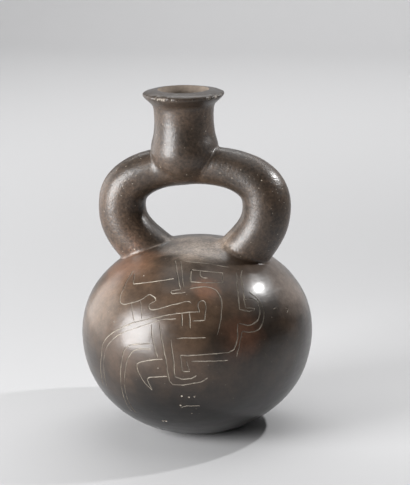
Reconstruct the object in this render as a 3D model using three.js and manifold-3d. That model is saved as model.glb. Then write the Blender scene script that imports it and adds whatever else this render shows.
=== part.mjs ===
// A globular bottle of burnished earthenware with a hollow stirrup handle and a flaring spout.
// Chamber, stirrup and spout are one fired body: its hollow runs from the globe through both arms
// of the stirrup to the open mouth.
import * as THREE from "three";
import { mergeVertices } from "three/addons/utils/BufferGeometryUtils.js";
import Module from "manifold-3d";

const wasm = await Module();
wasm.setup();

// Driving sizes in millimetres, Z up, the foot standing on z = 0.
const GLOBE_WALL = 5;
const TUBE_WALL = 4.5;

// Globe: superelliptic halves above and below the equator, cut flat at the foot.
const GLOBE_RADIUS = 75;
const EQUATOR_Z = 64.4;
const CROWN_RISE = 61.6;
const BELLY_DROP = 66.9;
const GLOBE_POWER = 2.05;

// Stirrup: a loop in the XZ plane, lowest where its arms run into the globe.
const LOOP_CROWN = [5, 174.3];
const LEFT_ARM = { widest: [-48.7, 148.2], root: [-28.5, 115.2], entryDeg: 36.6 };
const RIGHT_ARM = { widest: [48, 151.5], root: [25.4, 111.8], entryDeg: 42.9 };
const CROWN_HANDLE = 0.61;
const WIDEST_HANDLE = 0.27;
const ROOT_HANDLE = 0.66;
const ROOT_TAIL = 10;
const LOOP_RADIUS = { crown: 12.2, widest: 15.3, root: 16 };
const ARM_LENGTH = 32;

// Spout: a waisted neck with an everted lip, on a rounded underside set into the crown of the stirrup.
// Each outline is a smooth curve through [radius, height] points from the axis up to the mouth.
const SPOUT_X = -5.4;
const SPOUT_OUTLINE = [[0, 163.2], [11, 165.8], [18.4, 172.5], [21.6, 180.5], [21.3, 187.4], [19.7, 194.5],
  [18.95, 203], [19.3, 211], [20.5, 214], [23.2, 216.6], [25.4, 218.7], [26, 220.3], [24.8, 221.4],
  [21, 222.3], [16.6, 222.9]];
const BORE_OUTLINE = [[0, 167.8], [8.5, 169.8], [14, 175], [16.6, 182], [16.4, 187.5], [14.8, 195],
  [14.3, 203], [14.5, 213], [15.8, 221.4], [18, 224.5]];

// Incised design on the front: strokes as [across, up] points, measured in millimetres along the surface
// from the middle of the front at the equator, across along the parallel and up along the meridian.
const GROOVE_HALF_WIDTH = 0.6;
const GROOVE_STEP = 9;
const SMALLEST_DETAIL = 0.03;
const UP_RADIUS = 68;
const STRAIGHT_STROKES = {
  leaningBar: [[-4, 74.5], [4.8, 50.2], [-0.4, 49], [-1.2, 47.8], [0.4, 46.7], [8.3, 48]],
  leaningBarEdge: [[0, 74], [6.6, 51.8]],
  eyeFrame: [[7.7, 66.4], [29.4, 61.8], [30.5, 54.3], [10, 55.9], [8.3, 66.9]],
  sideBar: [[-31.5, 58], [-29.2, 50.2], [-12, 55.4], [-1, 58.5]],
  scrollLegs: [[-27, 36.8], [-22.7, 24.3]],
  scrollLegEdge: [[-20.4, 39.5], [-17.5, 27.5]],
  tailFoot: [[22.7, 28.4], [15, 27.9]],
  tailTooth: [[8.2, 33.6], [9.2, 24.5]],
  tailToothEdge: [[12.9, 33.8], [14.2, 23.3]],
  post: [[39.2, 61.3], [44.6, 33.6], [51.7, 31.2], [55.5, 32]],
  postEdge: [[43.7, 61.7], [43.4, 56], [48.8, 34.3], [56, 32.3]],
  band: [[44.2, 24.2], [44.6, 14], [42.5, 7.5], [39, 5.8], [8.8, 5], [9.8, -5.1], [14.2, -5.2], [12.5, 1.2]],
  bandSide: [[47.2, 18.5], [46.2, 11], [44.2, 2.5]],
  bandEdge: [[15.4, 1.3], [38.3, 0.5]],
  frame: [[-5.4, 25.8], [-0.4, 1.7], [1.2, -12], [3, -14.2], [9, -14.6], [21.7, -12.2], [25.4, -9.8]],
  frameEdge: [[2.5, 15.2], [4.6, 1.7], [4.8, -8.8], [9, -10.4], [15, -9.9], [18.3, -8.2]],
  frameSide: [[-10.8, 24.5], [-9.6, 15.8], [-5.6, 3]],
  frameTop: [[5.8, 16.5], [24.2, 16.8]],
};
const CURVED_STROKES = {
  brow: [[3, 74.2], [14.9, 71.9], [26, 68.4], [33, 66]],
  pupil: [[14.2, 65], [15, 61.6], [16.8, 59.2], [20.2, 58.5]],
  arch: [[10, 50.4], [18, 52], [26.7, 49.2], [31.7, 41], [32.9, 29.5], [31.2, 18]],
  scroll: [[-34, 59.5], [-36.6, 46], [-37.5, 38], [-34.5, 35], [-29.5, 36.2], [-20, 40.4], [-15, 44.8],
    [-9.8, 41.6], [-13.8, 37.6], [-11.5, 34.3], [0, 38.3], [10.5, 41.4], [13, 40.2]],
  tail: [[19.2, 34.2], [8, 33.5], [-4.2, 30.7], [-23.3, 24.2], [-38.3, 15.8], [-48.3, 6.7], [-52, -4],
    [-54.5, -14], [-55.4, -26]],
  tailEdge: [[5, 29.2], [-4.2, 28.2], [-20, 21.7], [-34, 14.6], [-44.2, 5.4], [-49.4, -5], [-50.6, -15],
    [-50.8, -26]],
  tailHook: [[19, 33.5], [17.3, 39.8], [20, 41.8], [22.4, 38], [22.7, 28.4]],
  ear: [[46.7, 40], [54, 39.2], [59, 33.5], [59, 25.5], [53, 22], [45, 24.2]],
  earEdge: [[50.4, 44.6], [58.3, 37.5], [63.2, 28.5], [61, 19.8], [55, 17.3], [47.3, 18.7]],
  plume: [[-10.4, 11.7], [-23.3, 9.6], [-29.5, 5], [-33.3, -7.2], [-34.8, -22], [-34.2, -35], [-32, -44]],
  plumeEdge: [[-10.4, 8.3], [-20, 6.9], [-26, 1.5], [-29.6, -7.2], [-32, -24], [-30.8, -36], [-28.2, -45]],
  beak: [[-2.5, 2], [-10, 1], [-18, -1.4], [-20.4, -4.5], [-17, -13], [-11, -19.8]],
  beakEdge: [[0, -8.8], [-11, -10.3], [-13.4, -12.5], [-11, -19]],
};

const SIDES = { globe: 56, globeInside: 24, loop: 18, loopInside: 10, spout: 28, bore: 18, groove: 4 };
const STEPS = { globe: 10, globeInside: 5, loop: 32, loopInside: 18, spout: 21, bore: 11 };

// Turns a profile of [radius, height] points about the Z axis.
function revolve(profile, sides) {
  const points = profile.map(([radius, height]) => new THREE.Vector2(radius, height));
  return new THREE.LatheGeometry(points, sides).rotateX(Math.PI / 2);
}

function closedSolid(geometry) {
  const bare = geometry.clone();
  bare.deleteAttribute("normal");
  bare.deleteAttribute("uv");
  const merged = mergeVertices(bare, 1e-3);
  return new wasm.Manifold(new wasm.Mesh({
    numProp: 3,
    vertProperties: Float32Array.from(merged.attributes.position.array),
    triVerts: Uint32Array.from(merged.index.array),
  }));
}

function globeProfile(inset, steps) {
  const floor = inset;
  const radius = GLOBE_RADIUS - inset;
  const rise = CROWN_RISE - inset;
  const drop = BELLY_DROP - inset;
  const floorAngle = Math.asin(((EQUATOR_Z - floor) / drop) ** (GLOBE_POWER / 2));
  const profile = [[0, floor]];
  for (let step = 0; step <= 2 * steps; step += 1) {
    const below = step < steps;
    const turn = below ? floorAngle * (step / steps - 1) : (Math.PI / 2) * (step / steps - 1);
    const across = Math.max(Math.cos(turn), 0) ** (2 / GLOBE_POWER);
    const along = Math.abs(Math.sin(turn)) ** (2 / GLOBE_POWER);
    profile.push([radius * across, EQUATOR_Z + (below ? -drop : rise) * along]);
  }
  profile[profile.length - 1][0] = 0;
  return profile;
}

const inPlane = ([x, z]) => new THREE.Vector3(x, 0, z);

// One arm from inside the globe to the crown of the loop.
function armCurves({ widest, root, entryDeg }) {
  const crown = inPlane(LOOP_CROWN);
  const outer = inPlane(widest);
  const foot = inPlane(root);
  const side = Math.sign(outer.x - crown.x);
  const entry = THREE.MathUtils.degToRad(entryDeg);
  const inward = new THREE.Vector3(-side * Math.cos(entry), 0, -Math.sin(entry));
  const reach = foot.distanceTo(outer);
  const rise = crown.z - outer.z;
  const up = new THREE.Vector3(0, 0, 1);
  const across = new THREE.Vector3(outer.x - crown.x, 0, 0);
  return [
    new THREE.LineCurve3(foot.clone().addScaledVector(inward, ROOT_TAIL), foot),
    new THREE.CubicBezierCurve3(
      foot,
      foot.clone().addScaledVector(inward, -ROOT_HANDLE * reach),
      outer.clone().addScaledVector(up, -WIDEST_HANDLE * reach),
      outer,
    ),
    new THREE.CubicBezierCurve3(
      outer,
      outer.clone().addScaledVector(up, CROWN_HANDLE * rise),
      crown.clone().addScaledVector(across, CROWN_HANDLE),
      crown,
    ),
  ];
}

function reversed(curve) {
  if (curve.isLineCurve3) return new THREE.LineCurve3(curve.v2, curve.v1);
  return new THREE.CubicBezierCurve3(curve.v3, curve.v2, curve.v1, curve.v0);
}

function loopPath() {
  const path = new THREE.CurvePath();
  armCurves(LEFT_ARM).forEach((curve) => path.add(curve));
  armCurves(RIGHT_ARM).reverse().forEach((curve) => path.add(reversed(curve)));
  return path;
}

function loopRadius(height) {
  const widestZ = (LEFT_ARM.widest[1] + RIGHT_ARM.widest[1]) / 2;
  const rise = THREE.MathUtils.clamp((height - widestZ) / (LOOP_CROWN[1] - widestZ), 0, 1);
  const fall = THREE.MathUtils.clamp((widestZ - height) / ARM_LENGTH, 0, 1);
  return LOOP_RADIUS.widest + (LOOP_RADIUS.crown - LOOP_RADIUS.widest) * rise ** 2
    + (LOOP_RADIUS.root - LOOP_RADIUS.widest) * fall;
}

// A straight rod of revolution whose length is then bent along the loop.
function bentLoop(inset, sides, steps) {
  const path = loopPath();
  const rod = [[0, 0]];
  for (let step = 0; step <= steps; step += 1) {
    const along = step / steps;
    rod.push([loopRadius(path.getPointAt(along).z) - inset, along]);
  }
  rod.push([0, 1]);
  const geometry = revolve(rod, sides);
  const position = geometry.attributes.position;
  for (let index = 0; index < position.count; index += 1) {
    const along = THREE.MathUtils.clamp(position.getZ(index), 0, 1);
    const centre = path.getPointAt(along);
    const tangent = path.getTangentAt(along);
    const outward = new THREE.Vector3(-tangent.z, 0, tangent.x);
    centre.addScaledVector(outward, -position.getX(index));
    position.setXYZ(index, centre.x, position.getY(index), centre.z);
  }
  return geometry;
}

function spoutSolid(outline, sides, steps) {
  const curve = new THREE.SplineCurve(outline.map(([radius, height]) => new THREE.Vector2(radius, height)));
  const [, top] = outline[outline.length - 1];
  const profile = [...curve.getPoints(steps).map((point) => [point.x, point.y]), [0, top]];
  return closedSolid(revolve(profile, sides).translate(SPOUT_X, 0, 0));
}

// A point of the design on the globe, with the outward direction there.
function onGlobe(across, up) {
  const turn = up / UP_RADIUS;
  const radius = GLOBE_RADIUS * Math.cos(turn) ** (2 / GLOBE_POWER);
  const reach = turn > 0 ? CROWN_RISE : BELLY_DROP;
  const height = Math.sign(turn) * reach * Math.abs(Math.sin(turn)) ** (2 / GLOBE_POWER);
  const aside = across / radius;
  const point = new THREE.Vector3(radius * Math.sin(aside), -radius * Math.cos(aside), EQUATOR_Z + height);
  const outward = new THREE.Vector3(point.x, point.y, height * (GLOBE_RADIUS / reach) ** 2).normalize();
  return { point, outward };
}

// Stations along a stroke, close enough together to follow the curve of the globe.
function strokeStations(points, curved) {
  const plan = points.map(([across, up]) => new THREE.Vector2(across, up));
  if (curved) {
    const spline = new THREE.SplineCurve(plan);
    return spline.getSpacedPoints(Math.ceil(spline.getLength() / (0.6 * GROOVE_STEP)));
  }
  const stations = [plan[0]];
  plan.slice(1).forEach((end, index) => {
    const start = plan[index];
    const count = Math.ceil(start.distanceTo(end) / GROOVE_STEP);
    for (let step = 1; step <= count; step += 1) stations.push(start.clone().lerp(end, step / count));
  });
  return stations;
}

// A thin four-sided rod laid along a stroke, half below the surface, that cuts a V-shaped groove.
function grooveCutter(points, curved) {
  const stations = strokeStations(points, curved).map(({ x, y }) => onGlobe(x, y));
  const last = stations.length - 1;
  const rod = stations.map((station, index) => [GROOVE_HALF_WIDTH, index]);
  const geometry = revolve([[0, 0], ...rod, [0, last]], SIDES.groove);
  const position = geometry.attributes.position;
  for (let index = 0; index < position.count; index += 1) {
    const at = Math.round(position.getZ(index));
    const { point, outward } = stations[at];
    const before = stations[Math.max(at - 1, 0)].point;
    const after = stations[Math.min(at + 1, last)].point;
    const tangent = after.clone().sub(before).normalize();
    const sideways = outward.clone().cross(tangent);
    const placed = point.clone()
      .addScaledVector(sideways, position.getX(index))
      .addScaledVector(outward, position.getY(index));
    position.setXYZ(index, placed.x, placed.y, placed.z);
  }
  return closedSolid(geometry);
}

const body = closedSolid(revolve(globeProfile(0, STEPS.globe), SIDES.globe))
  .add(closedSolid(bentLoop(0, SIDES.loop, STEPS.loop)))
  .add(spoutSolid(SPOUT_OUTLINE, SIDES.spout, STEPS.spout));

const hollow = closedSolid(revolve(globeProfile(GLOBE_WALL, STEPS.globeInside), SIDES.globeInside))
  .add(closedSolid(bentLoop(TUBE_WALL, SIDES.loopInside, STEPS.loopInside)))
  .add(spoutSolid(BORE_OUTLINE, SIDES.bore, STEPS.bore));

const grooves = [
  ...Object.values(STRAIGHT_STROKES).map((points) => grooveCutter(points, false)),
  ...Object.values(CURVED_STROKES).map((points) => grooveCutter(points, true)),
].reduce((all, cutter) => all.add(cutter));

function meshGeometry(solid) {
  const mesh = solid.getMesh();
  const geometry = new THREE.BufferGeometry();
  geometry.setAttribute("position", new THREE.BufferAttribute(Float32Array.from(mesh.vertProperties), 3));
  geometry.setIndex(new THREE.BufferAttribute(Uint32Array.from(mesh.triVerts), 1));
  geometry.computeVertexNormals();
  return geometry;
}

const earthenware = new THREE.MeshStandardMaterial({ color: 0x4a4038, roughness: 0.5 });
const vessel = body.subtract(hollow).subtract(grooves).simplify(SMALLEST_DETAIL);
const vase = new THREE.Mesh(meshGeometry(vessel), earthenware);
vase.name = "vase";

const model = new THREE.Group();
model.name = "globular_stirrup_vase";
model.add(vase);

export default model;
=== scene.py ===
# A globular vase of dark burnished earthenware with a stirrup handle, a flaring spout and an incised front.
import math

import bmesh
import bpy
import numpy as np
from mathutils import Matrix, Vector, noise


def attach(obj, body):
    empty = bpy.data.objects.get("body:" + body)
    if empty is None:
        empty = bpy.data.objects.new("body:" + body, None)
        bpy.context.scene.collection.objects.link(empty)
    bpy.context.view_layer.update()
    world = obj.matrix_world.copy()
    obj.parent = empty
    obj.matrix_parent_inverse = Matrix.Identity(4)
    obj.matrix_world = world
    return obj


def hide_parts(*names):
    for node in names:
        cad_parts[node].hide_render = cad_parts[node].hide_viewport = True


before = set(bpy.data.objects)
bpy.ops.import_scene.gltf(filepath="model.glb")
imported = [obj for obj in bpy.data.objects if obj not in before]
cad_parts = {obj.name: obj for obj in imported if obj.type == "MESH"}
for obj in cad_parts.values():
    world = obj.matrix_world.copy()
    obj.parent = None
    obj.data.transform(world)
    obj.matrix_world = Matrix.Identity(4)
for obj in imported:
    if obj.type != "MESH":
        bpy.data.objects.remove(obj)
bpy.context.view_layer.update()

# The vase is worked out in millimetres in the frame's own axes, and turned into metres at the end.
MM = 0.001

# Form of the vase, with the main values of its solid. Only the worn edge of the mouth is a little tighter.
GLOBE_RADIUS = 75.0
EQUATOR_Z = 64.4
CROWN_RISE = 61.6
BELLY_DROP = 66.9
GLOBE_POWER = 2.05
GLOBE_WALL = 5.0
LOOP_CROWN = (5.0, 174.3)
LEFT_ARM = {"widest": (-48.7, 148.2), "root": (-28.5, 115.2), "entry": math.radians(36.6)}
RIGHT_ARM = {"widest": (48.0, 151.5), "root": (25.4, 111.8), "entry": math.radians(42.9)}
CROWN_HANDLE = 0.61
WIDEST_HANDLE = 0.27
ROOT_HANDLE = 0.66
ROOT_TAIL = 10.0
LOOP_RADIUS = {"crown": 12.2, "widest": 15.3, "root": 16.0}
ARM_LENGTH = 32.0
TUBE_WALL = 4.5
SPOUT_X = -5.4
SPOUT_OUTLINE = ((0, 163.2), (11, 165.8), (18.4, 172.5), (21.6, 180.5), (21.3, 187.4), (19.7, 194.5),
                 (18.95, 203), (19.3, 211), (20.5, 214), (23.2, 216.6), (25.4, 218.7), (26, 220.3),
                 (24.8, 221.4), (21, 222.3), (16.6, 222.9))
BORE_OUTLINE = ((0, 167.8), (8.5, 169.8), (14, 175), (16.6, 182), (16.4, 187.5), (14.8, 195), (14.3, 203),
                (14.4, 213), (14.6, 218), (15.2, 220.8), (16.8, 223.4))

# Mesh fineness: the even spacing of the skin, where it is halved, and the sides of each round form.
VOXEL = 1.45
LIP_FINE_Z = 213.0
JOINT_FINE = 5.0
SIDES = {"globe": 240, "stirrup": 64, "spout": 120, "chamber": 72, "channel": 24, "bore": 96, "groove": 6}
LINE_SPACING = 0.6

# Softness of the hand-smoothed joints between globe, stirrup and spout.
LOOP_SOFTNESS = 5.0
ARM_FILLET = {"crease": 2.4, "flare": 4.0}
FLARE_X = (22.0, 36.0)
SEAT_FILLET = {"right": 1.6, "left_low": 7.0, "left_high": 1.2}
SEAT_HALF = 12.0
SEAT_Z = (168.0, 178.0)

# Unevenness of handwork, as depth and width of its waves. The foot stays flat.
HAND_WAVES = ((0.35, 38), (0.16, 13), (0.05, 4.5))
FOOT_FLAT_Z = 0.6

# Wear of the lip: chips as azimuth from the front, half width in degrees and depth in millimetres.
LIP_EDGE = (25.6, 220.4)
LIP_WORN = 2.8
LIP_RUBBED = {"depth": 0.9, "size": 2.6, "least": 0.05}
CHIP_RAGGED = {"mean": 0.75, "swing": 0.6, "size": 1.5}
LIP_CHIPS = ((-18, 8, 1.1), (-29, 4, 0.7), (54, 5, 0.9), (70, 9, 1.3), (128, 6, 0.8), (-110, 7, 0.9),
             (-165, 5, 0.7))

# Incised design: strokes as (across, up) along the surface from the middle of the front at the equator.
UP_RADIUS = 68.0
GROOVE_RADIUS = 0.38
GROOVE_STEP = 1.6
FAINT_SHARE = 0.72
END_SHARE = 0.55
GROOVE_UNEVEN = {"share": 0.5, "size": 4}
GROOVE_UNSTEADY = {"shift": 0.3, "size": 3}
STRAIGHT_STROKES = {
    "leaning_bar": ((-4, 74.5), (4.8, 50.2), (-0.4, 49), (-1.2, 47.8), (0.4, 46.7), (8.3, 48)),
    "leaning_bar_edge": ((0, 74), (6.6, 51.8)),
    "eye_frame": ((7.7, 66.4), (29.4, 61.8), (30.5, 54.3), (10, 55.9), (8.3, 66.9)),
    "side_bar": ((-31.5, 58), (-29.2, 50.2), (-12, 55.4), (-1, 58.5)),
    "scroll_leg": ((-27, 36.8), (-22.7, 24.3)),
    "scroll_leg_edge": ((-20.4, 39.5), (-17.5, 27.5)),
    "tail_foot": ((22.7, 28.4), (15, 27.9)),
    "tail_tooth": ((8.2, 33.6), (9.2, 24.5)),
    "tail_tooth_edge": ((12.9, 33.8), (14.2, 23.3)),
    "post": ((39.2, 61.3), (44.6, 33.6), (51.7, 31.2), (55.5, 32)),
    "post_edge": ((43.7, 61.7), (43.4, 56), (48.8, 34.3), (56, 32.3)),
    "band": ((44.2, 24.2), (44.6, 14), (42.5, 7.5), (39, 5.8), (8.8, 5), (9.8, -5.1), (14.2, -5.2),
             (12.5, 1.2)),
    "band_side": ((47.2, 18.5), (46.2, 11), (44.2, 2.5)),
    "band_edge": ((15.4, 1.3), (38.3, 0.5)),
    "frame": ((-5.4, 25.8), (-0.4, 1.7), (1.2, -12), (3, -14.2), (9, -14.6), (21.7, -12.2), (25.4, -9.8)),
    "frame_edge": ((2.5, 15.2), (4.6, 1.7), (4.8, -8.8), (9, -10.4), (15, -9.9), (18.3, -8.2)),
    "frame_side": ((-10.8, 24.5), (-9.6, 15.8), (-5.6, 3)),
    "frame_top": ((5.8, 16.5), (24.2, 16.8)),
    "scratch": ((5.8, -33), (10, -31.3), (18.3, -31.2)),
    "nick_left": ((71.4, 29.1), (73.8, 29.9), (75.6, 28.2)),
    "nick_right": ((83.5, 27.1), (86.8, 25.7), (84.7, 23.6)),
}
CURVED_STROKES = {
    "brow": ((3, 74.2), (14.9, 71.9), (26, 68.4), (33, 66)),
    "pupil": ((14.2, 65), (15, 61.6), (16.8, 59.2), (20.2, 58.5)),
    "arch": ((10, 50.4), (18, 52), (26.7, 49.2), (31.7, 41), (32.9, 29.5), (31.2, 18)),
    "scroll": ((-34, 59.5), (-36.6, 46), (-37.5, 38), (-34.5, 35), (-29.5, 36.2), (-20, 40.4), (-15, 44.8),
               (-9.8, 41.6), (-13.8, 37.6), (-11.5, 34.3), (0, 38.3), (10.5, 41.4), (13, 40.2)),
    "tail": ((19.2, 34.2), (8, 33.5), (-4.2, 30.7), (-23.3, 24.2), (-38.3, 15.8), (-48.3, 6.7), (-52, -4),
             (-54.5, -14), (-55.4, -26)),
    "tail_edge": ((5, 29.2), (-4.2, 28.2), (-20, 21.7), (-34, 14.6), (-44.2, 5.4), (-49.4, -5),
                  (-50.6, -15), (-50.8, -26)),
    "tail_hook": ((19, 33.5), (17.3, 39.8), (20, 41.8), (22.4, 38), (22.7, 28.4)),
    "ear": ((46.7, 40), (54, 39.2), (59, 33.5), (59, 25.5), (53, 22), (45, 24.2)),
    "ear_edge": ((50.4, 44.6), (58.3, 37.5), (63.2, 28.5), (61, 19.8), (55, 17.3), (47.3, 18.7)),
    "plume": ((-10.4, 11.7), (-23.3, 9.6), (-29.5, 5), (-33.3, -7.2), (-34.8, -22), (-34.2, -35),
              (-32, -44)),
    "plume_edge": ((-10.4, 8.3), (-20, 6.9), (-26, 1.5), (-29.6, -7.2), (-32, -24), (-30.8, -36),
                   (-28.2, -45)),
    "beak": ((-2.5, 2), (-10, 1), (-18, -1.4), (-20.4, -4.5), (-17, -13), (-11, -19.8)),
    "beak_edge": ((0, -8.8), (-11, -10.3), (-13.4, -12.5), (-11, -19)),
}
FAINT_STROKES = ("brow", "frame_top", "leaning_bar_edge", "scratch", "tail_edge", "scroll_leg",
                 "scroll_leg_edge", "nick_left", "nick_right", "band_side")

# Small pits and lost grains: (across, up, radius) on the globe, and (x, z, radius) on the stirrup's front.
GLOBE_PITS = ((7.9, -22.8, 0.8), (12.3, -23.7, 0.8), (15.7, -23.4, 0.8), (6, -30.9, 0.8), (-39.6, 22, 0.6),
              (-23, 58, 0.6), (-5.8, -3.8, 0.55), (-7, -49.3, 1.1), (-9.2, -49.6, 0.8), (12.1, -38.5, 0.5),
              (69.8, 24.3, 0.5))
STIRRUP_PITS = ((47.9, 175.9, 0.57), (56.1, 166.8, 0.49), (59.4, 162, 0.66), (53.1, 166.3, 0.41),
                (46.1, 163.2, 0.41), (58.2, 155.1, 0.41), (60.7, 153.1, 0.45), (39.2, 180, 0.41),
                (54.4, 160.9, 0.37), (57.2, 159.8, 0.49), (49.2, 159.7, 0.33), (53.8, 150.3, 0.33),
                (54.6, 147.3, 0.37), (34.1, 174.3, 0.45), (25.9, 174.9, 0.33), (44.7, 171.2, 0.33),
                (-42.7, 160.4, 0.41), (-44.4, 155.6, 0.41), (-36.9, 163.5, 0.41), (-48.9, 165.1, 0.49),
                (-48.9, 170.7, 0.37), (-43.8, 161.6, 0.49), (-32.5, 179, 0.41), (-39.3, 170.8, 0.33),
                (-42.4, 165.1, 0.33))

# Fresh nicks in the edge of the lip: azimuth from the front, and radius.
LIP_NICKS = ((-31, 0.6), (-25, 0.9), (-21, 0.7), (-18, 0.9), (-14, 0.6), (-9, 0.5), (-3, 0.6), (8, 0.4),
             (27, 0.5), (49, 0.7), (54, 0.9), (60, 0.7), (71, 0.8), (97, 0.6), (131, 0.7), (-62, 0.5),
             (-109, 0.8), (-150, 0.6))


def smooth_curve(points, per_span):
    """A curve through the points, with per_span samples between each two."""
    points = np.array(points, float)
    padded = np.vstack([points[:1], points, points[-1:]])
    samples = []
    for first in range(len(points) - 1):
        a, b, c, d = padded[first:first + 4]
        pull_in, pull_out = (c - a) / 2, (d - b) / 2
        for t in np.arange(per_span) / per_span:
            samples.append((2 * t**3 - 3 * t**2 + 1) * b + (t**3 - 2 * t**2 + t) * pull_in
                           + (3 * t**2 - 2 * t**3) * c + (t**3 - t**2) * pull_out)
    samples.append(points[-1])
    return np.array(samples)


def evenly(points, spacing):
    """The same line with its samples evenly spaced."""
    lengths = np.concatenate([[0], np.cumsum(np.linalg.norm(np.diff(points, axis=0), axis=1))])
    count = max(int(math.ceil(lengths[-1] / spacing)), 2)
    places = np.linspace(0, lengths[-1], count + 1)
    columns = [np.interp(places, lengths, column) for column in points.T]
    return np.stack(columns, axis=1)


def softened(line, spacing, softness):
    """An evenly spaced line with its bends eased over the given length."""
    reach = int(3 * softness / spacing)
    weights = np.exp(-0.5 * (np.arange(-reach, reach + 1) * spacing / softness) ** 2)
    weights /= weights.sum()
    before = 2 * line[0] - line[reach:0:-1]
    after = 2 * line[-1] - line[-2:-reach - 2:-1]
    padded = np.vstack([before, line, after])
    return np.stack([np.convolve(padded[:, axis], weights, "valid") for axis in (0, 1)], axis=1)


def bezier(a, b, c, d, count=80):
    t = np.linspace(0, 1, count)[:, None]
    a, b, c, d = (np.array(point, float) for point in (a, b, c, d))
    return (1 - t)**3 * a + 3 * (1 - t)**2 * t * b + 3 * (1 - t) * t**2 * c + t**3 * d


def arm_line(arm):
    """Centreline of one arm in the XZ plane, from inside the globe to the crown of the loop."""
    crown, widest, root = (np.array(point) for point in (LOOP_CROWN, arm["widest"], arm["root"]))
    side = np.sign(widest[0] - crown[0])
    inward = np.array((-side * math.cos(arm["entry"]), -math.sin(arm["entry"])))
    reach = np.linalg.norm(root - widest)
    up = np.array((0, 1))
    lower = bezier(root, root - inward * ROOT_HANDLE * reach, widest - up * WIDEST_HANDLE * reach, widest)
    upper = bezier(widest, widest + up * CROWN_HANDLE * (crown[1] - widest[1]),
                   crown + np.array((CROWN_HANDLE * (widest[0] - crown[0]), 0)), crown)
    return np.vstack([root + inward * ROOT_TAIL, lower, upper[1:]])


def loop_radius(height):
    widest_z = (LEFT_ARM["widest"][1] + RIGHT_ARM["widest"][1]) / 2
    rise = np.clip((height - widest_z) / (LOOP_CROWN[1] - widest_z), 0, 1)
    fall = np.clip((widest_z - height) / ARM_LENGTH, 0, 1)
    return (LOOP_RADIUS["widest"] + (LOOP_RADIUS["crown"] - LOOP_RADIUS["widest"]) * rise**2
            + (LOOP_RADIUS["root"] - LOOP_RADIUS["widest"]) * fall)


BOTH_ARMS = np.vstack([arm_line(LEFT_ARM), arm_line(RIGHT_ARM)[::-1][1:]])
LOOP_LINE = softened(evenly(BOTH_ARMS, LINE_SPACING), LINE_SPACING, LOOP_SOFTNESS)
SPOUT_LINE = evenly(smooth_curve(SPOUT_OUTLINE, 30), LINE_SPACING / 2)


def globe_profile(inset, steps):
    """Half section of the globe from the middle of the foot to the top."""
    radius, rise, drop = GLOBE_RADIUS - inset, CROWN_RISE - inset, BELLY_DROP - inset
    lowest = math.asin(((EQUATOR_Z - inset) / drop) ** (GLOBE_POWER / 2))
    turns = np.concatenate([np.linspace(-lowest, 0, steps), np.linspace(0, math.pi / 2, steps)[1:]])
    across = radius * np.maximum(np.cos(turns), 0) ** (2 / GLOBE_POWER)
    along = np.sign(turns) * np.abs(np.sin(turns)) ** (2 / GLOBE_POWER)
    heights = EQUATOR_Z + along * np.where(turns > 0, rise, drop)
    across[-1] = 0
    return [(0, inset)] + list(zip(across, heights))


def made(name, bm):
    bmesh.ops.recalc_face_normals(bm, faces=bm.faces)
    mesh = bpy.data.meshes.new(name)
    bm.to_mesh(mesh)
    bm.free()
    piece = bpy.data.objects.new(name, mesh)
    bpy.context.scene.collection.objects.link(piece)
    return piece


def turned(name, profile, sides, centre_x=0.0):
    """A closed solid of revolution about a vertical axis."""
    bm = bmesh.new()
    row = [bm.verts.new((radius, 0, height)) for radius, height in profile]
    line = [bm.edges.new(pair) for pair in zip(row, row[1:])]
    bmesh.ops.spin(bm, geom=row + line, cent=(0, 0, 0), axis=(0, 0, 1), angle=math.tau, steps=sides,
                   use_merge=True)
    bmesh.ops.remove_doubles(bm, verts=bm.verts, dist=1e-4)
    bmesh.ops.translate(bm, verts=bm.verts, vec=(centre_x, 0, 0))
    return made(name, bm)


def swept(name, places, sides):
    """A closed rod through the places, each a matrix that carries a unit circle to its station."""
    bm = bmesh.new()
    ring = bmesh.ops.create_circle(bm, segments=sides, radius=1.0, matrix=places[0])["verts"]
    edges = list({edge for vert in ring for edge in vert.link_edges})
    for before, after in zip(places, places[1:]):
        new = bmesh.ops.extrude_edge_only(bm, edges=edges)["geom"]
        ring = {item for item in new if isinstance(item, bmesh.types.BMVert)}
        edges = [item for item in new if isinstance(item, bmesh.types.BMEdge)]
        edges = [edge for edge in edges if ring.issuperset(edge.verts)]
        bmesh.ops.transform(bm, matrix=after @ before.inverted(), verts=list(ring))
    bmesh.ops.holes_fill(bm, edges=[edge for edge in bm.edges if edge.is_boundary])
    return made(name, bm)


def placed(point, side, out, radius):
    """The matrix of a station: a circle of that radius across the line."""
    along = side.cross(out)
    turn = Matrix((side, out, along)).transposed()
    return Matrix.Translation(point) @ turn.to_4x4() @ Matrix.Diagonal((radius, radius, 1, 1))


def loop_rod(name, inset, spacing, sides):
    line = evenly(LOOP_LINE, spacing)
    tangents = np.gradient(line, axis=0)
    places = []
    for (x, z), (dx, dz) in zip(line, tangents):
        side = Vector((-dz, 0, dx)).normalized()
        places.append(placed(Vector((x, 0, z)), side, Vector((0, 1, 0)), loop_radius(z) - inset))
    return swept(name, places, sides)


def baked(piece):
    """The piece with its modifiers worked into its mesh."""
    graph = bpy.context.evaluated_depsgraph_get()
    mesh = bpy.data.meshes.new_from_object(piece.evaluated_get(graph))
    piece.modifiers.clear()
    piece.data = mesh
    return piece


def combine(piece, others, operation):
    """Adds the other solids to the piece or cuts them out of it, and removes them."""
    group = bpy.data.collections.new(operation)
    for other in others:
        group.objects.link(other)
    step = piece.modifiers.new(operation, "BOOLEAN")
    step.operation = operation
    step.operand_type = "COLLECTION"
    step.collection = group
    step.solver = "MANIFOLD"
    baked(piece)
    for other in others:
        bpy.data.objects.remove(other)
    bpy.data.collections.remove(group)
    return piece


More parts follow.
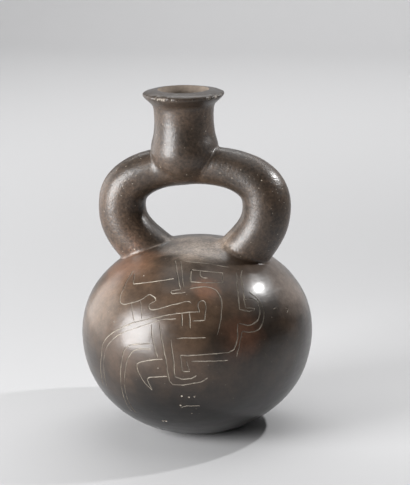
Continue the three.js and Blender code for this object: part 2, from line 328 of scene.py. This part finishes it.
def globe_distance(points):
    rho = np.hypot(points[:, 0], points[:, 1])
    rise = points[:, 2] - EQUATOR_Z
    reach = np.where(rise > 0, CROWN_RISE, BELLY_DROP)
    n = GLOBE_POWER
    level = ((rho / GLOBE_RADIUS)**n + (np.abs(rise) / reach)**n) ** (1 / n)
    slope = np.hypot(rho**(n - 1) / GLOBE_RADIUS**n, np.abs(rise)**(n - 1) / reach**n)
    around = level**(n - 1) * (level - 1) / np.maximum(slope, 1e-9)
    return np.maximum(around, -points[:, 2])


def line_distance(plane, line):
    """Distance beside a line, left or right of it, and the line's nearest sample."""
    tangents = np.gradient(line, axis=0)
    tangents /= np.linalg.norm(tangents, axis=1)[:, None]
    nearest = np.empty(len(plane), int)
    batch = 4000
    for start in range(0, len(plane), batch):
        part = plane[start:start + batch, None, :] - line[None]
        nearest[start:start + batch] = (part**2).sum(2).argmin(1)
    offset = plane - line[nearest]
    aside = offset[:, 0] * tangents[nearest, 1] - offset[:, 1] * tangents[nearest, 0]
    return aside, nearest


def loop_distance(points):
    aside, nearest = line_distance(points[:, [0, 2]], LOOP_LINE)
    return np.hypot(aside, points[:, 1]) - loop_radius(LOOP_LINE[nearest, 1])


def spout_distance(points):
    plane = np.stack([np.hypot(points[:, 0] - SPOUT_X, points[:, 1]), points[:, 2]], axis=1)
    aside, nearest = line_distance(plane, SPOUT_LINE)
    inside_top = (plane[:, 0] < SPOUT_OUTLINE[-1][0]) & (plane[:, 1] > SPOUT_OUTLINE[0][1] + 30)
    return np.where(inside_top, plane[:, 1] - SPOUT_OUTLINE[-1][1], aside)


def forms(points):
    return globe_distance(points), loop_distance(points), spout_distance(points)


def blended(a, b, width):
    """The smaller of two distances, with a soft fillet where they meet."""
    near = np.maximum(width - np.abs(a - b), 0) / width
    return np.minimum(a, b) - near**2 * width / 4


def vase_distance(points):
    globe, loop, spout = forms(points)
    left = np.interp(points[:, 2], SEAT_Z, (SEAT_FILLET["left_low"], SEAT_FILLET["left_high"]))
    share = np.interp(points[:, 0] - SPOUT_X, (-SEAT_HALF, SEAT_HALF), (1, 0))
    seat = left * share + SEAT_FILLET["right"] * (1 - share)
    flare = np.interp(points[:, 0], (0, 1, *FLARE_X), (0, 1, 1, 0))
    arm = ARM_FILLET["crease"] + (ARM_FILLET["flare"] - ARM_FILLET["crease"]) * flare
    return blended(blended(globe, loop, arm), spout, seat)


def joint_nearness(points, width):
    """How close a point of the skin is to the joints of the arms and of the spout, from 0 to 1."""
    globe, loop, spout = forms(points)
    arm = 1 - np.abs(globe - loop) / width
    seat = 1 - np.abs(np.minimum(globe, loop) - spout) / width
    return np.clip(arm, 0, 1), np.clip(seat, 0, 1)


def read(mesh, what):
    values = np.empty(len(mesh.vertices) * 3)
    mesh.vertices.foreach_get(what, values)
    return values.reshape(-1, 3)


def write(mesh, points):
    mesh.vertices.foreach_set("co", points.ravel())
    mesh.update()


def settle(mesh, rounds):
    """Moves every point along its normal onto the filleted form."""
    for _ in range(rounds):
        points = read(mesh, "co")
        write(mesh, points - vase_distance(points)[:, None] * read(mesh, "normal"))


def relax(mesh, rounds):
    bm = bmesh.new()
    bm.from_mesh(mesh)
    for _ in range(rounds):
        bmesh.ops.smooth_vert(bm, verts=bm.verts, factor=0.5, use_axis_x=True, use_axis_y=True,
                              use_axis_z=True)
    bm.to_mesh(mesh)
    bm.free()


def refine(mesh):
    """Halves the mesh's spacing at the lip and along the joints."""
    points = read(mesh, "co")
    arm, seat = joint_nearness(points, JOINT_FINE)
    fine = (points[:, 2] > LIP_FINE_Z) | (arm > 0) | (seat > 0)
    bm = bmesh.new()
    bm.from_mesh(mesh)
    edges = [edge for edge in bm.edges if all(fine[vert.index] for vert in edge.verts)]
    bmesh.ops.subdivide_edges(bm, edges=edges, cuts=1, use_grid_fill=True)
    bm.to_mesh(mesh)
    bm.free()


def hand_wobble(point):
    """Unevenness of a form built and burnished by hand, in millimetres."""
    return sum(depth * noise.noise(Vector(point) / size) for depth, size in HAND_WAVES)


def lip_wear(point):
    """How far the worn and chipped edge of the lip stands back."""
    rho = math.hypot(point[0] - SPOUT_X, point[1])
    off = math.hypot(rho - LIP_EDGE[0], point[2] - LIP_EDGE[1]) / LIP_WORN
    if off > 1:
        return 0.0
    azimuth = math.degrees(math.atan2(point[0] - SPOUT_X, -point[1]))
    rubbed = noise.noise(Vector(point) / LIP_RUBBED["size"]) - LIP_RUBBED["least"]
    depth = LIP_RUBBED["depth"] * max(0.0, rubbed)
    ragged = CHIP_RAGGED["mean"] + CHIP_RAGGED["swing"] * noise.noise(Vector(point) / CHIP_RAGGED["size"])
    for centre, half_width, deep in LIP_CHIPS:
        depth += deep * ragged * max(0.0, 1 - ((azimuth - centre) / half_width) ** 2)
    return depth * (1 - off)


def on_globe(across, up):
    """A point of the design on the globe and the outward direction there."""
    turn = up / UP_RADIUS
    radius = GLOBE_RADIUS * math.cos(turn) ** (2 / GLOBE_POWER)
    reach = CROWN_RISE if turn > 0 else BELLY_DROP
    height = math.copysign(reach * abs(math.sin(turn)) ** (2 / GLOBE_POWER), turn)
    aside = across / radius
    point = Vector((radius * math.sin(aside), -radius * math.cos(aside), EQUATOR_Z + height))
    out = Vector((point.x, point.y, height * (GLOBE_RADIUS / reach) ** 2)).normalized()
    return point + out * hand_wobble(point), out


def on_stirrup(x, z):
    """The point of the stirrup's front at x and z, and the outward direction there."""
    place = np.array([[x, -2 * LOOP_RADIUS["root"], z]])
    for _ in range(60):
        place[0, 1] += loop_distance(place)[0]
    out = [loop_distance(place + step)[0] - loop_distance(place - step)[0] for step in np.eye(3) * 0.05]
    point, out = Vector(place[0]), Vector(out).normalized()
    return point + out * hand_wobble(point), out


def on_lip(azimuth):
    """A point of the lip's edge and the outward direction there."""
    turn = math.radians(azimuth)
    out = Vector((math.sin(turn), -math.cos(turn), 0))
    return Vector((SPOUT_X, 0, LIP_EDGE[1] - 0.6)) + out * LIP_EDGE[0], out


def stroke_line(points, curved):
    if curved:
        return evenly(smooth_curve(points, 16), GROOVE_STEP)
    spans = [evenly(np.array(pair, float), GROOVE_STEP)[1:] for pair in zip(points, points[1:])]
    return np.vstack([np.array(points[:1], float)] + spans)


def groove(name, points, curved):
    """A thin rod laid along a stroke, which cuts its groove."""
    stations = [on_globe(*place) for place in stroke_line(points, curved)]
    full = GROOVE_RADIUS * (FAINT_SHARE if name in FAINT_STROKES else 1.0)
    places = []
    for index, (point, out) in enumerate(stations):
        before = stations[max(index - 1, 0)][0]
        after = stations[min(index + 1, len(stations) - 1)][0]
        along = (after - before).normalized()
        side = out.cross(along).normalized()
        uneven = 1 + GROOVE_UNEVEN["share"] * noise.noise(point / GROOVE_UNEVEN["size"])
        unsteady = side * GROOVE_UNSTEADY["shift"] * noise.noise(point / GROOVE_UNSTEADY["size"])
        end = END_SHARE if index in (0, len(stations) - 1) else 1.0
        places.append(placed(point + unsteady, side, along.cross(side), full * uneven * end))
    return swept("groove_" + name, places, SIDES["groove"])


def pit(place, radius):
    """A small ball sunk into the surface, which cuts its pit."""
    point, out = place
    bm = bmesh.new()
    bmesh.ops.create_icosphere(bm, subdivisions=2, radius=radius,
                               matrix=Matrix.Translation(point + out * radius / 3))
    return made("pit", bm)


FINISHES = [bpy.data.materials.new(name) for name in ("burnished_clay", "incised_clay", "inner_clay")]
OUTSIDE, INCISED, INSIDE = range(3)


def finished(piece, finish):
    """The piece with one of the finishes on all its faces."""
    piece.data.materials.clear()
    for material in FINISHES:
        piece.data.materials.append(material)
    for face in piece.data.polygons:
        face.material_index = finish
    return piece


# Outer skin: the three forms joined, remeshed evenly and settled onto the filleted form.
vase = turned("vase_skin", globe_profile(0, 90), SIDES["globe"])
spout_profile = SPOUT_LINE[::4].tolist() + [(0, SPOUT_OUTLINE[-1][1])]
added = [loop_rod("stirrup", 0, 1.5, SIDES["stirrup"]),
         turned("spout", spout_profile, SIDES["spout"], SPOUT_X)]
combine(vase, added, "UNION")
remesh = vase.modifiers.new("even", "REMESH")
remesh.mode = "VOXEL"
remesh.voxel_size = VOXEL
baked(vase)
settle(vase.data, 3)
relax(vase.data, 3)
settle(vase.data, 2)
refine(vase.data)
settle(vase.data, 3)
points = read(vase.data, "co")
shift = np.array([hand_wobble(point) - lip_wear(point) for point in points])
shift[points[:, 2] <= FOOT_FLAT_Z] = 0
write(vase.data, points + read(vase.data, "normal") * shift[:, None])
finished(vase, OUTSIDE)

# Hollow inside, open at the mouth, and then the incised design and the pits.
bore_profile = evenly(smooth_curve(BORE_OUTLINE, 20), 0.8).tolist() + [(0, BORE_OUTLINE[-1][1])]
hollows = (turned("chamber", globe_profile(GLOBE_WALL, 24), SIDES["chamber"]),
           loop_rod("channel", TUBE_WALL, 4.0, SIDES["channel"]),
           turned("bore", bore_profile, SIDES["bore"], SPOUT_X))
for hollow in hollows:
    combine(vase, [finished(hollow, INSIDE)], "DIFFERENCE")
cuts = [groove(name, points, False) for name, points in STRAIGHT_STROKES.items()]
cuts += [groove(name, points, True) for name, points in CURVED_STROKES.items()]
cuts += [pit(on_globe(across, up), radius) for across, up, radius in GLOBE_PITS]
cuts += [pit(on_stirrup(x, z), radius) for x, z, radius in STIRRUP_PITS]
cuts += [pit(on_lip(azimuth), radius) for azimuth, radius in LIP_NICKS]
combine(vase, [finished(cut, INCISED) for cut in cuts], "DIFFERENCE")

# What the finish follows: the globe's burnish, which fades between the arms, the pale joints of the left arm
# and of the spout's right side, partly deposits and partly a painted highlight, and the wear of the lip.
BURNISH_EDGE = 3.0
CROWN_DULL = {"z": (115.0, 123.0), "burnish": (1, 0.3)}
JOINT_WIDTH = 0.9
ARM_PALE_AND_HIGHLIGHT = 0.6
SEAT_PALE_AND_HIGHLIGHT = {"share": 0.4, "from_x": 8}
LIP_BARE = {"depth": 0.5, "least": 0.6}
points = read(vase.data, "co")
globe, loop, spout = forms(points)
arm, seat = joint_nearness(points, JOINT_WIDTH)
worn = np.array([lip_wear(point) for point in points])
traces = {
    "burnish": (np.clip((np.minimum(loop, spout) - globe) / BURNISH_EDGE + 0.5, 0, 1)
                * np.interp(points[:, 2], CROWN_DULL["z"], CROWN_DULL["burnish"])),
    "joint_deposit_and_highlight": np.maximum(ARM_PALE_AND_HIGHLIGHT * arm * (points[:, 0] < 0),
                        SEAT_PALE_AND_HIGHLIGHT["share"] * seat * (points[:, 0] > SEAT_PALE_AND_HIGHLIGHT["from_x"])),
    "wear": np.clip(worn / LIP_BARE["depth"] - LIP_BARE["least"], 0, 1),
}
bm = bmesh.new()
bm.from_mesh(vase.data)
for face in bm.faces:
    face.smooth = True
for edge in bm.edges:
    kinds = {face.material_index for face in edge.link_faces}
    edge.smooth = not (INCISED in kinds and len(kinds) > 1)
bmesh.ops.scale(bm, vec=(MM, MM, MM), verts=bm.verts)
bm.to_mesh(vase.data)
bm.free()
for name, values in traces.items():
    trace = vase.data.attributes.new(name, "FLOAT", "POINT")
    trace.data.foreach_set("value", np.array(values, np.float32))
vase.name = "vase_burnished"
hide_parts("vase")
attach(vase, "root")


def linear(code):
    """An sRGB hex colour as linear values."""
    parts = [int(code[i:i + 2], 16) / 255 for i in (1, 3, 5)]
    return [p / 12.92 if p <= 0.04045 else ((p + 0.055) / 1.055) ** 2.4 for p in parts] + [1.0]


def per_metre(size):
    """Scale of a pattern whose features are that many millimetres wide."""
    return 1 / (size * MM)


def add(tree, kind, inputs, output=0, **settings):
    """Adds a node with its settings, values and links, and gives one of its outputs."""
    node = tree.nodes.new(kind)
    for name, value in settings.items():
        setattr(node, name, value)
    for socket, value in inputs.items():
        if isinstance(value, bpy.types.NodeSocket):
            tree.links.new(value, node.inputs[socket])
        else:
            node.inputs[socket].default_value = value
    return node.outputs[output]


NOISE, RANGE, MIX, MATH = "ShaderNodeTexNoise", "ShaderNodeMapRange", "ShaderNodeMix", "ShaderNodeMath"
VECTOR, VORONOI, TRACE = "ShaderNodeVectorMath", "ShaderNodeTexVoronoi", "ShaderNodeAttribute"
BUMP, PLACE, SPLIT = "ShaderNodeBump", "ShaderNodeTexCoord", "ShaderNodeSeparateXYZ"
SOFT = {"interpolation_type": "SMOOTHSTEP"}


def mixed(tree, share, first, second, blend="MIX"):
    """A share of the second colour mixed into the first, by the numbers of the node's colour sockets."""
    return add(tree, MIX, {0: share, 6: first, 7: second}, 2, data_type="RGBA", blend_type=blend)


def worked(tree, operation, *values):
    """The result of a sum that is named by its operation."""
    return add(tree, MATH, dict(enumerate(values)), operation=operation)


def mottled(tree, place, size, detail, roughness=0.5):
    """An uneven pattern whose features are that many millimetres wide."""
    return add(tree, NOISE, {"Vector": place, "Scale": per_metre(size), "Detail": detail,
                             "Roughness": roughness})


def begun(finish):
    """The node tree of a finish, its shader, and the place on the object that its patterns read."""
    FINISHES[finish].use_nodes = True
    tree = FINISHES[finish].node_tree
    return tree, tree.nodes["Principled BSDF"], add(tree, PLACE, {}, "Object")


# Burnished earthenware: a grey-brown clay body rubbed to a satin with a pebble, then fired with little air,
# so it goes from brown to nearly black in clouds, with warm patches where the flame reached it. The globe is
# the smoothest; stirrup and spout were harder to reach, and stay duller, with a fine grain.
CLAY_DARK = linear("#2b231c")
CLAY_BROWN = linear("#47382c")
CLAY_BLACK = linear("#110f0e")
CLAY_GREY = linear("#4e4136")
# Pale of the joints: partly deposits, partly a painted highlight in the creases.
JOINT_PALE_AND_HIGHLIGHT = linear("#93857a")
WORN_PALE = linear("#a0958a")
FLECK_PALE = linear("#b8ac9c")

# Clouds from the firing, and a pale cloud on the crown that is partly dust and partly a painted sheen: centre
# and radius in millimetres, strength and colour.
FIRE_CLOUDS_AND_SHEEN = (
    ((0, -36, 117), 22, 0.5, "#6e5f52"),
    # Pale cloud on the crown: partly dust, partly a painted sheen.
    ((8, -14, 124), 34, 0.9, "#a39384"),
    ((-24, -38, 115), 26, 0.6, "#6a5240"),
    ((66, -4, 98), 34, 0.75, "#8a7d74"),
    ((-42, -30, 113), 34, 0.75, "#7d5a45"),
    ((-50, -42, 92), 42, 0.55, "#75604e"),
    ((20, -53, 106), 13, 0.8, "#7c5036"),
    ((44, -58, 78), 24, 0.6, "#6b4a39"),
    ((14, -58, 96), 34, 0.45, "#5f4a39"),
    ((-34, -66, 70), 30, 0.4, "#5f4f44"),
    ((30, 60, 80), 45, 0.6, "#6c5242"),
    ((-40, 45, 100), 36, 0.5, "#70543f"),
)
CLOUD_EDGE = {"outer": 0.35, "inner": -0.4}
# Darkening towards the bottom: heights where it begins and where it is full, raggedness and strength.
LOWER_DARKENING = {"clear_z": 88, "full_z": 46, "ragged": 40, "strength": 0.94}
RIM = {"clear_z": 210, "full_z": 217, "strength": 0.6}
FLECK_SPACING = 3.2
STREAK_STRETCH = (1, 1, 7)

# Patterns of the clay: width in millimetres, detail and roughness.
CLAY_PATTERNS = {
    "broad": (46, 4, 0.55),
    "patchy": (17, 4, 0.6),
    "mottle": (5, 4, 0.65),
    "grain": (1.7, 3, 0.65),
}
# What changes with the burnish: its value where the clay is dull, and where it is well rubbed.
BY_BURNISH = {
    "grey": (0.15, 0.0),
    "dusty": (0.9, 0.24),
    "sparse": (1.0, 0.22),
    "rough": (0.42, 0.33),
    "grit": (0.2, 0.015),
}

tree, shader, place = begun(OUTSIDE)
height = add(tree, SPLIT, {0: place}, "Z")
burnish, joint_deposit_and_highlight, wear = (add(tree, TRACE, {}, "Fac", attribute_name=name) for name in traces)
broad, patchy, mottle, grain = (mottled(tree, place, *pattern) for pattern in CLAY_PATTERNS.values())
grey, dusty, sparse, rough, grit = (
    add(tree, RANGE, {"Value": burnish, "To Min": dull, "To Max": rubbed})
    for dull, rubbed in BY_BURNISH.values())

# Its colour: brown and dark clay, fire clouds with a pale crown that is partly a painted sheen, darker
# towards the bottom, then mottling, grain, flecks, wear and pale joints that are partly a painted highlight.
cloudy = add(tree, RANGE, {"Value": broad, "From Min": 0.38, "From Max": 0.64}, **SOFT)
colour = mixed(tree, cloudy, CLAY_DARK, CLAY_BROWN)
for centre, radius, strength, code in FIRE_CLOUDS_AND_SHEEN:
    middle = [value * MM for value in centre]
    away = add(tree, VECTOR, {0: place, 1: middle}, "Value", operation="DISTANCE")
    ragged = worked(tree, "MULTIPLY_ADD", patchy, -radius * MM, away)
    reach = add(tree, RANGE, {"Value": ragged, "From Min": CLOUD_EDGE["outer"] * radius * MM,
                              "From Max": CLOUD_EDGE["inner"] * radius * MM, "To Max": strength}, **SOFT)
    colour = mixed(tree, reach, colour, linear(code))
# Darker towards the bottom, with a ragged edge, into near black.
low = worked(tree, "MULTIPLY_ADD", patchy, LOWER_DARKENING["ragged"] * MM, height)
darker_below = add(tree, RANGE, {"Value": low, "From Min": LOWER_DARKENING["clear_z"] * MM, "From Max": LOWER_DARKENING["full_z"] * MM,
                          "To Max": LOWER_DARKENING["strength"]}, **SOFT)
for share, tint in ((darker_below, CLAY_BLACK), (grey, CLAY_GREY)):
    colour = mixed(tree, share, colour, tint)

shade = add(tree, RANGE, {"Value": mottle, "From Min": 0.3, "From Max": 0.7,
                          "To Min": 0.82, "To Max": 1.17})
gritty = add(tree, RANGE, {"Value": grain, "From Min": 0.32, "From Max": 0.68,
                           "To Min": 0.4, "To Max": 1.6})
for share, tone in ((1.0, shade), (dusty, gritty)):
    colour = mixed(tree, share, colour, tone, "MULTIPLY")

flecks = add(tree, VORONOI, {"Vector": place, "Scale": per_metre(FLECK_SPACING)}, "Distance")
fleck = add(tree, RANGE, {"Value": flecks, "From Min": 0.16, "From Max": 0.08})
chosen = add(tree, RANGE, {"Value": flecks.node.outputs["Color"], "From Min": 0.6, "From Max": 0.9,
                           "To Max": 0.75})
for share in (chosen, sparse):
    fleck = worked(tree, "MULTIPLY", fleck, share)
rim = add(tree, RANGE, {"Value": height, "From Min": RIM["clear_z"] * MM, "From Max": RIM["full_z"] * MM,
                        "To Max": RIM["strength"]})
rubbed = add(tree, RANGE, {"Value": mottle, "From Min": 0.38, "From Max": 0.6})
# Pale joints: partly deposits, partly a painted highlight along the left arm's crease and the spout's right
# seat.
pale_joint_and_highlight = worked(tree, "MULTIPLY", joint_deposit_and_highlight, rubbed)
bare = worked(tree, "MULTIPLY", wear, rubbed)
for share, tint in ((fleck, FLECK_PALE), (rim, CLAY_DARK), (pale_joint_and_highlight, JOINT_PALE_AND_HIGHLIGHT), (bare, WORN_PALE)):
    colour = mixed(tree, share, colour, tint)
tree.links.new(colour, shader.inputs["Base Color"])

# Its gloss and its finest relief: the marks of the pebble run round the vase.
stretched = add(tree, VECTOR, {0: place, 1: STREAK_STRETCH}, operation="MULTIPLY")
streaks = mottled(tree, stretched, 24, 3)
lines = mottled(tree, stretched, 8, 2)
ROUGHENED = ((streaks, 0.1), (lines, 0.1), (mottle, 0.1), (joint_deposit_and_highlight, 0.25), (wear, 0.2), (fleck, 0.3))
ROUGH_MEAN = 0.15
for pattern, amount in ROUGHENED:
    rough = worked(tree, "MULTIPLY_ADD", pattern, amount, rough)
rough = worked(tree, "SUBTRACT", rough, ROUGH_MEAN)
tree.links.new(rough, shader.inputs["Roughness"])

relief = worked(tree, "MULTIPLY", grain, grit)
for pattern, depth in ((streaks, 0.06), (lines, 0.025), (mottle, 0.03), (fleck, -0.04)):
    relief = worked(tree, "MULTIPLY_ADD", pattern, depth, relief)
bump = add(tree, BUMP, {"Height": relief, "Distance": MM, "Strength": 1.0})
tree.links.new(bump, shader.inputs["Normal"])
tree.links.new(bump, shader.inputs["Coat Normal"])
shader.inputs["IOR"].default_value = 1.5
shader.inputs["Coat Weight"].default_value = 0.25
shader.inputs["Coat Roughness"].default_value = 0.17

# Incised clay: lines scratched through the burnish after it had dried, so they show the dull pale body, with
# dark earth left in parts of them.
tree, shader, place = begun(INCISED)
earth = mottled(tree, place, 9, 5, 0.7)
packed = add(tree, RANGE, {"Value": earth, "From Min": 0.38, "From Max": 0.66})
colour = mixed(tree, packed, linear("#736b62"), linear("#b0a89b"))
tree.links.new(colour, shader.inputs["Base Color"])
dry = add(tree, RANGE, {"Value": earth, "To Min": 0.7, "To Max": 0.95})
tree.links.new(dry, shader.inputs["Roughness"])
crumbs = mottled(tree, place, 0.8, 2)
bump = add(tree, BUMP, {"Height": crumbs, "Distance": 0.1 * MM, "Strength": 1.0})
tree.links.new(bump, shader.inputs["Normal"])

# Inner clay: never rubbed, so it is dull, dusty brown, with the drag marks of fingers, and darker further in
# by painted shade with some soot.
INNER_PAINTED_SHADE = {"clear_z": 220, "full_z": 209, "strength": 0.88}
DRAG_STRETCH = (1, 1, 4)
tree, shader, place = begun(INSIDE)
dust = mottled(tree, place, 6, 5, 0.65)
colour = mixed(tree, dust, linear("#54483f"), linear("#a89a8b"))
height = add(tree, SPLIT, {0: place}, "Z")
# Painted shade: the wall of the bore darkens below the mouth, with some soot.
deep = add(tree, RANGE, {"Value": height, "From Min": INNER_PAINTED_SHADE["clear_z"] * MM, "From Max": INNER_PAINTED_SHADE["full_z"] * MM,
                         "To Max": INNER_PAINTED_SHADE["strength"]})
colour = mixed(tree, deep, colour, CLAY_DARK)
tree.links.new(colour, shader.inputs["Base Color"])
dry = add(tree, RANGE, {"Value": dust, "To Min": 0.7, "To Max": 0.95})
tree.links.new(dry, shader.inputs["Roughness"])
stretched = add(tree, VECTOR, {0: place, 1: DRAG_STRETCH}, operation="MULTIPLY")
drags = mottled(tree, stretched, 9, 3)
bump = add(tree, BUMP, {"Height": drags, "Distance": 0.5 * MM, "Strength": 1.0})
tree.links.new(bump, shader.inputs["Normal"])

# Pale floor that sweeps up into the backdrop.
FLOOR_HALF = 4.0
SWEEP_START = 1.7
SWEEP_RADIUS = 0.6
BACKDROP_TOP = 3.0
bm = bmesh.new()
sweep = [(-FLOOR_HALF, 0), (SWEEP_START, 0)]
sweep += [(SWEEP_START + SWEEP_RADIUS * math.sin(turn), SWEEP_RADIUS * (1 - math.cos(turn)))
          for turn in np.linspace(0.1, math.pi / 2, 12)]
sweep += [(SWEEP_START + SWEEP_RADIUS, BACKDROP_TOP)]
row = [bm.verts.new((-FLOOR_HALF, y, z)) for y, z in sweep]
line = [bm.edges.new(pair) for pair in zip(row, row[1:])]
new = bmesh.ops.extrude_edge_only(bm, edges=line)["geom"]
far_row = [item for item in new if isinstance(item, bmesh.types.BMVert)]
bmesh.ops.translate(bm, vec=(2 * FLOOR_HALF, 0, 0), verts=far_row)
floor = made("floor", bm)
for face in floor.data.polygons:
    face.use_smooth = True
paper = bpy.data.materials.new("pale_paper")
paper.use_nodes = True
shader = paper.node_tree.nodes["Principled BSDF"]
shader.inputs["Base Color"].default_value = linear("#c1c1c2")
shader.inputs["Roughness"].default_value = 0.9
shader.inputs["Specular IOR Level"].default_value = 0.1
floor.data.materials.append(paper)

# Camera at the photograph's viewing angle.
EYE = Vector((0.3254, -1.2145, 0.4236))
AIM = Vector((0, 0, 0.11015))
ROLL = math.radians(-1.3)
camera = bpy.data.objects.new("camera", bpy.data.cameras.new("camera"))
bpy.context.scene.collection.objects.link(camera)
camera.data.lens = 148.45
camera.data.sensor_width = 36
camera.data.shift_x = 0.0195
camera.data.shift_y = 0.0396
camera.data.clip_end = 20
camera.matrix_world = (Matrix.Translation(EYE) @ (EYE - AIM).to_track_quat("Z", "Y").to_matrix().to_4x4()
                       @ Matrix.Rotation(ROLL, 4, "Z"))
bpy.context.scene.camera = camera


def soft_box(name, azimuth, elevation, distance, size, power, target=(0, 0, 0.1)):
    """A rectangular studio light, its azimuth from the front towards +X."""
    lamp = bpy.data.lights.new(name, "AREA")
    lamp.shape = "RECTANGLE"
    lamp.size, lamp.size_y = size
    lamp.energy = power
    turn, lift = math.radians(azimuth), math.radians(elevation)
    away = Vector((math.sin(turn) * math.cos(lift), -math.cos(turn) * math.cos(lift), math.sin(lift)))
    box = bpy.data.objects.new(name, lamp)
    box.visible_camera = False
    bpy.context.scene.collection.objects.link(box)
    box.location = Vector(target) + away * distance
    box.rotation_euler = away.to_track_quat("Z", "Y").to_euler()


# Lights: a large box and a reflector on the left, a small lamp behind on the right, and light from above and
# on the backdrop.
soft_box("left_box", -46, 13, 1.0, (0.56, 0.66), 21)
soft_box("left_reflector", -106, 9, 1.2, (1.0, 0.9), 6)
soft_box("right_lamp", 113, 39.6, 0.345, (0.015, 0.015), 0.77)
soft_box("top_box", 180, 82, 2.0, (1.8, 1.8), 11.5)
soft_box("backdrop_light", 0, 70, 1.3, (2.0, 0.8), 23, target=(-0.2, 1.55, 0.1))
world = bpy.data.worlds.new("studio")
bpy.context.scene.world = world
world.use_nodes = True
world.node_tree.nodes["Background"].inputs["Color"].default_value = linear("#ffffff")
world.node_tree.nodes["Background"].inputs["Strength"].default_value = 0.03
bpy.context.scene.view_settings.view_transform = "Standard"
